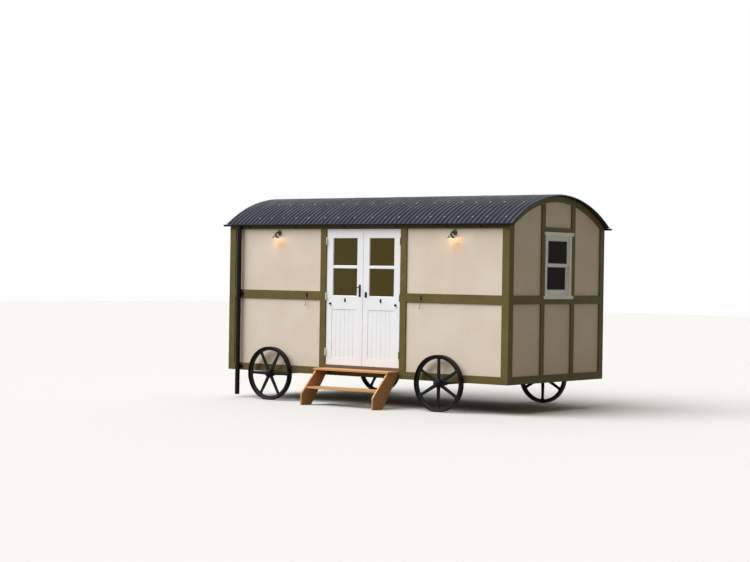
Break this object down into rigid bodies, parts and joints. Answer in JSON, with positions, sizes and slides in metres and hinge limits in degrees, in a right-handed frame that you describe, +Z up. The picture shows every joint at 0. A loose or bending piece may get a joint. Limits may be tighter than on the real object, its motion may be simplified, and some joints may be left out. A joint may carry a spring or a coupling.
{
  "type": "shepherds hut",
  "caption": "Timber hut with a curved corrugated roof on iron wheels, glazed double doors with steps, an end window, gutters and wall lamps.",
  "frame": {"origin": "on the ground at the middle of the hut's ground plan, steps and wheels included", "axes": "+X along the hut's length towards the end with the window, +Y from the doors towards the back, +Z up"},
  "size_m": [5.0412, 3.1246, 2.935],
  "materials": {
    "cream_boards": "satin cream paint on timber boards",
    "olive_timber": "satin olive paint on planed timber",
    "white_timber": "white gloss paint on planed timber",
    "plain_timber": "bare softwood",
    "chassis_timber": "dark stained timber",
    "dark_timber": "dark oiled hardwood",
    "step_timber": "orange-brown oiled timber",
    "wheel_iron": "black painted cast iron",
    "axle_steel": "dark rolled steel",
    "sheet_steel": "dark slate-grey coated corrugated steel",
    "black_steel": "black painted sheet and flat steel",
    "ironmongery": "black waxed iron",
    "lamp_metal": "dark bronze painted metal",
    "glass": "clear window glass",
    "bulb_glass": "frosted warm white bulb"
  },
  "bodies": {
    "hut": {"side_beams": "chassis_timber", "cross_members": "chassis_timber", "axles": "axle_steel", "floor": "plain_timber", "front_wall_left": "cream_boards", "front_wall_right": "cream_boards", "front_wall_over_door": "cream_boards", "back_wall": "cream_boards", "left_end_wall": "cream_boards", "right_end_wall": "cream_boards", "corner_posts": "olive_timber", "arch_trims": "olive_timber", "bottom_rails": "olive_timber", "battens": "olive_timber", "mid_rails": "olive_timber", "top_rails": "olive_timber", "roof_boards": "plain_timber", "roof_bows": "plain_timber", "roof_sheet": "sheet_steel", "door_frame": "white_timber", "threshold": "dark_timber", "hook_plates": "ironmongery", "window_frame": "white_timber", "window_sashes": "white_timber", "window_panes": "glass", "step_stringers": "step_timber", "step_treads": "step_timber", "gutters": "black_steel", "gutter_brackets": "black_steel", "downpipe": "black_steel", "lamps": "lamp_metal", "lamp_bulbs": "bulb_glass"},
    "front_left_wheel": {"front_left_wheel": "wheel_iron"},
    "front_right_wheel": {"front_right_wheel": "wheel_iron"},
    "back_left_wheel": {"back_left_wheel": "wheel_iron"},
    "back_right_wheel": {"back_right_wheel": "wheel_iron"},
    "left_door": {"left_door_leaf": "white_timber", "left_door_panes": "glass", "left_door_ironwork": "ironmongery"},
    "right_door": {"right_door_leaf": "white_timber", "right_door_panes": "glass", "right_door_ironwork": "ironmongery"},
    "door_lever": {"door_lever": "ironmongery"},
    "left_cabin_hook": {"left_cabin_hook": "ironmongery"},
    "right_cabin_hook": {"right_cabin_hook": "ironmongery"}
  },
  "joints": [
    {"name": "front_left_wheel_spin", "type": "hinge", "parent": "hut", "child": "front_left_wheel", "pos_m": [-1.559, -1.10975, 0.38], "axis": [0, 1, 0], "continuous": true},
    {"name": "front_right_wheel_spin", "type": "hinge", "parent": "hut", "child": "front_right_wheel", "pos_m": [1.404, -1.10975, 0.38], "axis": [0, 1, 0], "continuous": true},
    {"name": "back_left_wheel_spin", "type": "hinge", "parent": "hut", "child": "back_left_wheel", "pos_m": [-1.559, 1.48025, 0.38], "axis": [0, 1, 0], "continuous": true},
    {"name": "back_right_wheel_spin", "type": "hinge", "parent": "hut", "child": "back_right_wheel", "pos_m": [1.404, 1.48025, 0.38], "axis": [0, 1, 0], "continuous": true},
    {"name": "left_door_swing", "type": "hinge", "parent": "hut", "child": "left_door", "pos_m": [-0.6155, -1.02925, 1.5], "axis": [0, 0, -1], "range_deg": [0, 150]},
    {"name": "right_door_swing", "type": "hinge", "parent": "hut", "child": "right_door", "pos_m": [0.6635, -1.02925, 1.5], "axis": [0, 0, 1], "range_deg": [0, 150]},
    {"name": "lever_turn", "type": "hinge", "parent": "left_door", "child": "door_lever", "pos_m": [-0.03, -1.02, 1.632], "axis": [0, -1, 0], "range_deg": [0, 35], "stiffness_Nm_per_rad": 1.2, "springref_deg": -28.65},
    {"name": "left_hook_swing", "type": "hinge", "parent": "hut", "child": "left_cabin_hook", "pos_m": [-0.973, -1.03825, 1.511], "axis": [-1, 0, 0], "range_deg": [0, 110]},
    {"name": "right_hook_swing", "type": "hinge", "parent": "hut", "child": "right_cabin_hook", "pos_m": [1.021, -1.03825, 1.511], "axis": [-1, 0, 0], "range_deg": [0, 110]}
  ]
}
